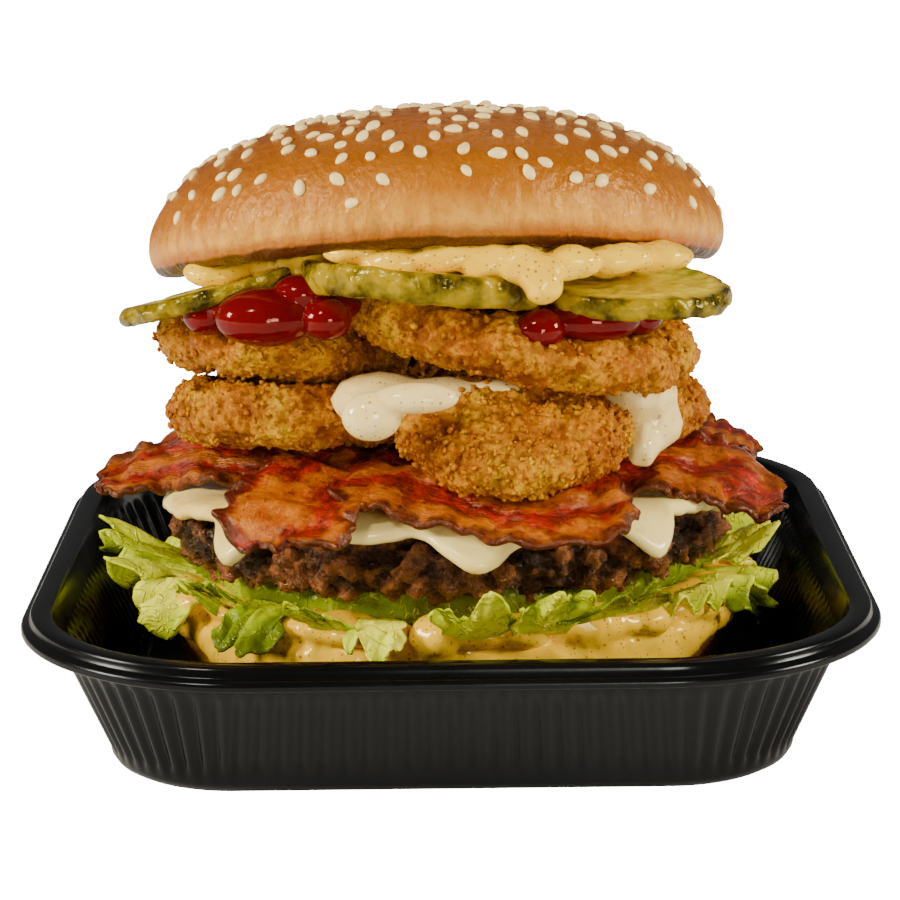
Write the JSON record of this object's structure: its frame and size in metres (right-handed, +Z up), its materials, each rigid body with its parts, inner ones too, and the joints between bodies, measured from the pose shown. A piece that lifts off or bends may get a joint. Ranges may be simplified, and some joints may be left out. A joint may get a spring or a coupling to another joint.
{
  "type": "burger in an open takeaway tray",
  "caption": "Tall bacon burger with onion rings, pickles, cheese, lettuce and sauces in a seeded bun, standing in an open black plastic takeaway tray.",
  "frame": {"origin": "on the ground, under the middle of the tray", "axes": "+Z up; +X and +Y along the tray's two plan directions, and the front of the burger faces -Y"},
  "size_m": [0.165, 0.176, 0.1229],
  "materials": {
    "black_tray": "satin to gloss black polypropylene with fine ribs",
    "bun_crust": "baked golden crust with a soft sheen, paler at the cut edge; stands in for bread",
    "burger_sauce": "glossy yellow-beige sauce with brown specks",
    "lettuce_leaf": "moist green leaf; stands in for lettuce",
    "seared_beef": "rough seared minced beef with wet highlights",
    "melted_cheese": "smooth melted pale cheese",
    "fried_bacon": "greasy fried bacon with meat and fat bands",
    "golden_breading": "coarse golden fried crumb",
    "pickle": "wet yellow-green pickled cucumber with a darker rind",
    "ketchup": "glossy deep red sauce",
    "garlic_mayonnaise": "glossy ivory sauce with fine specks"
  },
  "bodies": {
    "root": {"tray": "black_tray", "bun_heel": "bun_crust", "bun_crown": "bun_crust", "lower_sauce": "burger_sauce", "upper_sauce": "burger_sauce", "lettuce": "lettuce_leaf", "beef_patty": "seared_beef", "cheese_slice": "melted_cheese", "bacon_left": "fried_bacon", "bacon_front_left": "fried_bacon", "bacon_front_centre": "fried_bacon", "bacon_right": "fried_bacon", "bacon_back": "fried_bacon", "onion_ring_lower_left": "golden_breading", "onion_ring_lower_right": "golden_breading", "onion_ring_lower_back": "golden_breading", "onion_ring_lower_front": "golden_breading", "onion_ring_upper_left": "golden_breading", "onion_ring_upper_right": "golden_breading", "onion_ring_upper_back": "golden_breading", "pickle_left": "pickle", "pickle_centre": "pickle", "pickle_right": "pickle", "pickle_back": "pickle", "white_sauce_front": "garlic_mayonnaise", "white_sauce_right": "garlic_mayonnaise", "ketchup_left": "ketchup", "ketchup_right": "ketchup"}
  },
  "joints": []
}
